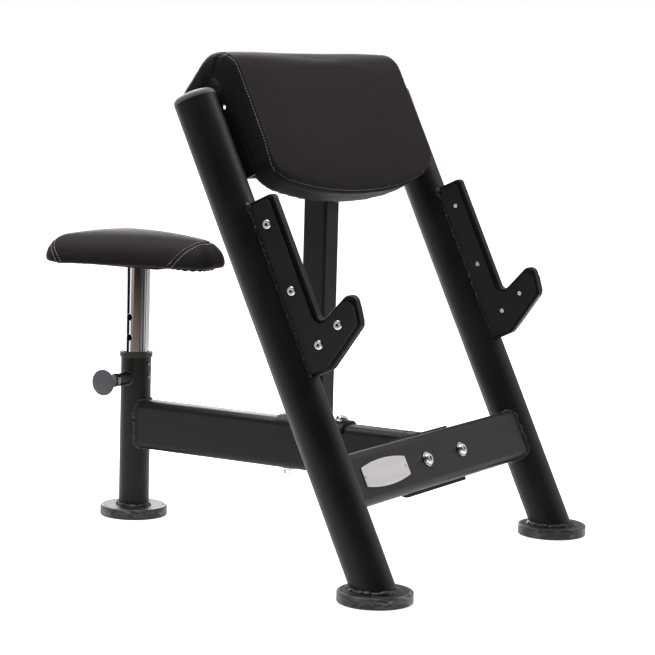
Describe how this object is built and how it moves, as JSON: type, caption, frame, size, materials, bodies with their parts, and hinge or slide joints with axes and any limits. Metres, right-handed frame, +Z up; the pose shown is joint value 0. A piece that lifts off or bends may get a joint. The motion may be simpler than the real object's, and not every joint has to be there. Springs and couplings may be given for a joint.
{
  "type": "preacher curl bench",
  "caption": "Preacher curl bench: leaning post frame with a folded arm pad, a bar rest on each post and a padded seat that a spring pin locks at set heights.",
  "frame": {"origin": "on the floor, under the middle of the bench's outer box", "axes": "+Z up, +Y from the bar rests back to the seat, +X across the bench, right when seen from the front"},
  "size_m": [0.829, 0.9692, 0.92],
  "materials": {
    "frame_paint": "satin black powder coat",
    "foot_steel": "satin dark grey paint",
    "foot_rubber": "matte black, faintly marbled",
    "cap_plastic": "matte grey",
    "liner_plastic": "matte black",
    "plate_metal": "brushed, bare",
    "bright_steel": "bright zinc plate",
    "dark_steel": "blackened",
    "chrome": "polished",
    "bush_plastic": "matte black",
    "knob_plastic": "satin dark grey",
    "vinyl": "matte black vinyl with grey stitching",
    "plywood": "bare plywood"
  },
  "bodies": {
    "frame": {"cross_beam": "frame_paint", "beam_clamp": "frame_paint", "main_beam": "frame_paint", "post_saddle": "frame_paint", "center_post": "frame_paint", "pad_carrier": "frame_paint", "seat_post_tube": "frame_paint", "pull_pin_housing": "frame_paint", "left_upright_tube": "frame_paint", "right_upright_tube": "frame_paint", "left_hook_plate": "frame_paint", "right_hook_plate": "frame_paint", "left_hook_inner_plate": "frame_paint", "right_hook_inner_plate": "frame_paint", "left_pad_bracket": "frame_paint", "right_pad_bracket": "frame_paint", "seat_foot_disc": "foot_steel", "left_foot_disc": "foot_steel", "right_foot_disc": "foot_steel", "seat_rubber_foot": "foot_rubber", "left_rubber_foot": "foot_rubber", "right_rubber_foot": "foot_rubber", "left_upright_cap": "cap_plastic", "right_upright_cap": "cap_plastic", "left_hook_liner": "liner_plastic", "right_hook_liner": "liner_plastic", "name_plate": "plate_metal", "name_plate_rivets": "plate_metal", "cross_beam_bolts": "bright_steel", "cross_beam_washers": "bright_steel", "cross_beam_nuts": "bright_steel", "saddle_bolts": "bright_steel", "saddle_washers": "bright_steel", "saddle_nuts": "bright_steel", "pad_bolts": "bright_steel", "pad_washers": "bright_steel", "pad_tee_nuts": "bright_steel", "left_hook_screws": "bright_steel", "right_hook_screws": "bright_steel", "corner_straps": "bright_steel", "pull_pin_spring": "bright_steel", "bush_screws": "dark_steel", "pull_pin_lock_nut": "dark_steel", "seat_post_bush": "bush_plastic", "arm_pad": "vinyl", "front_board": "plywood", "rear_board": "plywood"},
    "seat": {"seat_pad": "vinyl", "seat_board": "plywood", "seat_plate": "frame_paint", "seat_screws": "bright_steel", "seat_tube": "chrome", "seat_tube_cap": "bush_plastic"},
    "pull_pin": {"pull_pin": "bright_steel", "pull_pin_knob": "knob_plastic"}
  },
  "joints": [
    {"name": "seat_height", "type": "slide", "parent": "frame", "child": "seat", "axis": [0, 0, 1], "range_m": [-0.12, 0.12]},
    {"name": "pull_pin_slide", "type": "slide", "parent": "frame", "child": "pull_pin", "axis": [-1, 0, 0], "range_m": [0, 0.012], "stiffness_N_per_m": 1500, "springref_m": -0.01, "deforming": ["pull_pin_spring"]}
  ]
}
